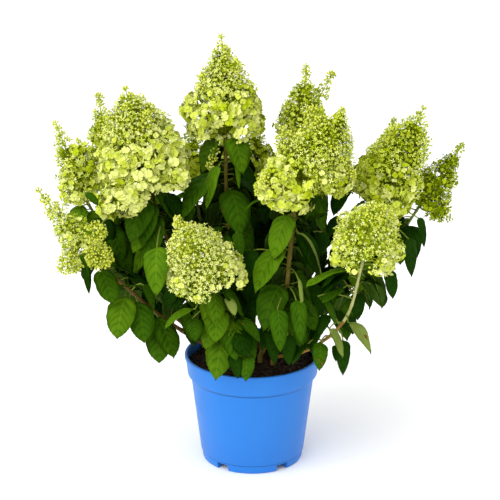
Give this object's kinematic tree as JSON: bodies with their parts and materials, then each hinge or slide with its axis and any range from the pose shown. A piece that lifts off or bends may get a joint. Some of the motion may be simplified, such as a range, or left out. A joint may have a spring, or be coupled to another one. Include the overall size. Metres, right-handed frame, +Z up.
{
  "type": "potted panicle hydrangea",
  "caption": "Panicle hydrangea with lime-green cone-shaped flower heads and drooping leaves, growing in a round blue plastic nursery pot",
  "frame": {"origin": "On the floor under the middle of the whole plant's bounding box", "axes": "+Z up, +Y away from the viewer, +X to the viewer's right"},
  "size_m": [0.7118, 0.5532, 0.7432],
  "materials": {
    "pot": "satin",
    "soil": "matte",
    "stem": "matte",
    "leaf": "satin",
    "blossom": "matte"
  },
  "bodies": {
    "root": {"pot": "pot", "soil": "soil", "bough_a": "stem", "bough_b": "stem", "bough_back_left": "stem", "bough_c": "stem", "bough_d": "stem", "bough_e": "stem", "bough_f": "stem", "bough_behind_f": "stem", "bough_g": "stem", "bough_h": "stem", "bough_i": "stem", "bough_j": "stem", "bough_k": "stem", "bough_rear_left": "stem", "bough_rear_mid": "stem", "bough_rear_right": "stem", "bough_rear_end": "stem", "bough_rear_low": "stem", "leaves_a": "leaf", "leaves_b": "leaf", "leaves_back_left": "leaf", "leaves_c": "leaf", "leaves_d": "leaf", "leaves_e": "leaf", "leaves_f": "leaf", "leaves_behind_f": "leaf", "leaves_g": "leaf", "leaves_h": "leaf", "leaves_i": "leaf", "leaves_j": "leaf", "leaves_k": "leaf", "leaves_rear_left": "leaf", "leaves_rear_mid": "leaf", "leaves_rear_right": "leaf", "leaves_rear_end": "leaf", "leaves_rear_low": "leaf", "bloom_a": "blossom", "bloom_b": "blossom", "bloom_back_left": "blossom", "bloom_c": "blossom", "bloom_d": "blossom", "bloom_e": "blossom", "bloom_f": "blossom", "bloom_behind_f": "blossom", "bloom_g": "blossom", "bloom_h": "blossom", "bloom_i": "blossom", "bloom_j": "blossom", "bloom_k": "blossom", "bloom_rear_left": "blossom", "bloom_rear_mid": "blossom", "bloom_rear_right": "blossom", "bloom_rear_end": "blossom", "bloom_rear_low": "blossom"}
  },
  "joints": []
}
